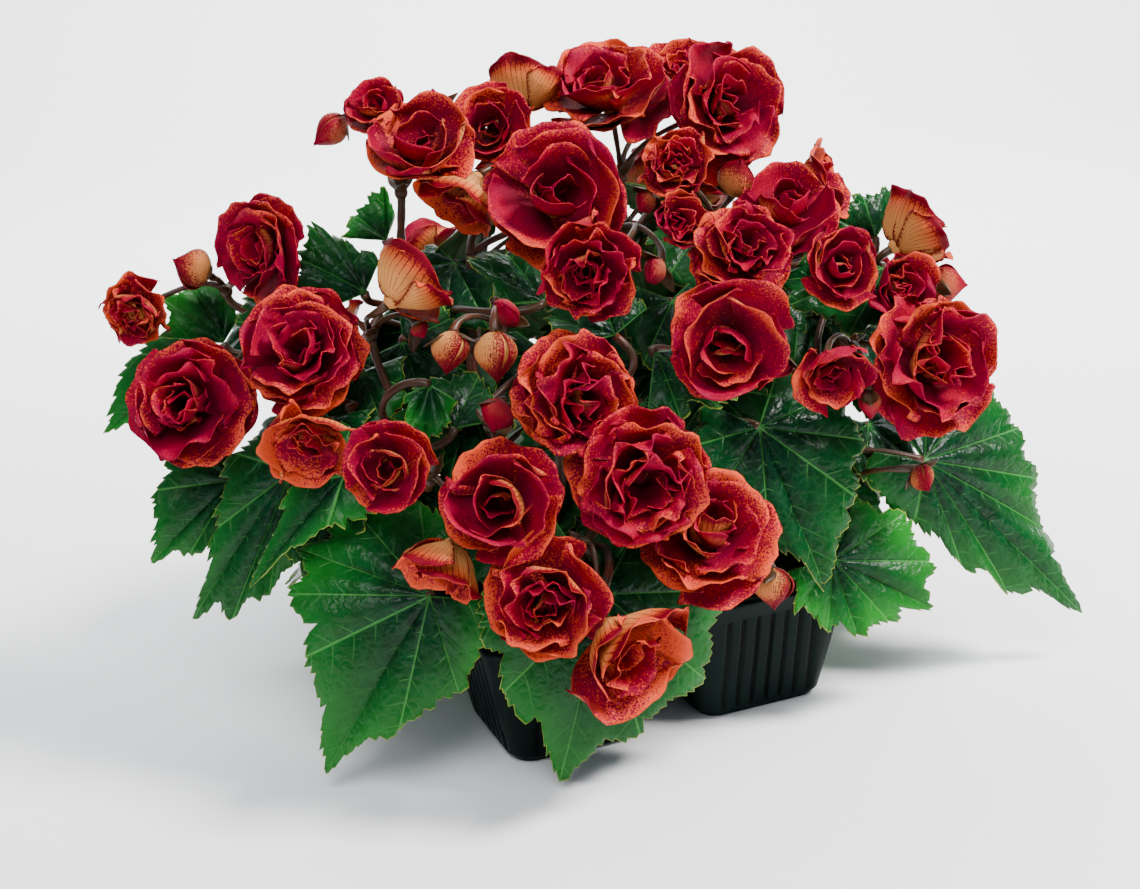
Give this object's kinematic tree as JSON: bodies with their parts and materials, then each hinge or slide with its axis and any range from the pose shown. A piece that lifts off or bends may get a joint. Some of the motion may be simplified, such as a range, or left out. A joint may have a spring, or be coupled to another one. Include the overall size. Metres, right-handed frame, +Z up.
{
  "type": "potted begonia",
  "caption": "Double-flowered begonia plants in bloom, grown together in one square black-green plastic pack of tapered cells.",
  "frame": {"origin": "on the surface the pack stands on, under the middle of the whole plant", "axes": "+Z up; the sides of the pack lie along X and Y, and its front row of cells faces -Y"},
  "size_m": [0.4054, 0.2966, 0.2846],
  "materials": {
    "pack_plastic": "satin",
    "compost": "matte",
    "greenery": "satin",
    "petals": "matte"
  },
  "bodies": {
    "root": {"cell_pack": "pack_plastic", "soil_back_left": "compost", "soil_back_right": "compost", "soil_front_left": "compost", "soil_front_right": "compost", "plant_back_left": "greenery", "plant_back_right": "greenery", "plant_front_left": "greenery", "plant_front_right": "greenery", "bloom_arm_left_bud": "petals", "bloom_arm_left_knob": "petals", "bloom_arm_left_side": "petals", "bloom_back_1": "petals", "bloom_back_2": "petals", "bloom_back_3": "petals", "bloom_back_4": "petals", "bloom_back_5": "petals", "bloom_back_6": "petals", "bloom_back_7": "petals", "bloom_back_8": "petals", "bloom_back_9": "petals", "bloom_brow_back_bud": "petals", "bloom_brow_great": "petals", "bloom_brow_half": "petals", "bloom_brow_knob": "petals", "bloom_brow_spiral": "petals", "bloom_cheek_cup": "petals", "bloom_cheek_left_hood": "petals", "bloom_chest_great": "petals", "bloom_chest_left_great": "petals", "bloom_chest_middle_great": "petals", "bloom_chest_middle_ruffle": "petals", "bloom_chest_ruffle": "petals", "bloom_crest_left_bud": "petals", "bloom_crest_left_cup": "petals", "bloom_crest_left_small": "petals", "bloom_crest_middle_back": "petals", "bloom_crest_middle_cup": "petals", "bloom_crest_middle_drop": "petals", "bloom_crest_right_back": "petals", "bloom_crest_right_great": "petals", "bloom_crest_right_saucer": "petals", "bloom_hand_left_great": "petals", "bloom_heart_drop": "petals", "bloom_heart_fan": "petals", "bloom_heart_hanging": "petals", "bloom_shoulder_cup": "petals", "bloom_shoulder_left_great": "petals", "bloom_shoulder_round": "petals", "bloom_shoulder_side": "petals", "bloom_side_back": "petals", "bloom_side_bud": "petals", "bloom_side_great": "petals", "bloom_side_half": "petals", "bloom_skirt_left_cup": "petals", "bloom_skirt_left_drop": "petals", "bloom_skirt_middle_rose": "petals", "bloom_skirt_middle_side": "petals", "bloom_skirt_right_bud": "petals", "bloom_skirt_right_ruffle": "petals"}
  },
  "joints": []
}
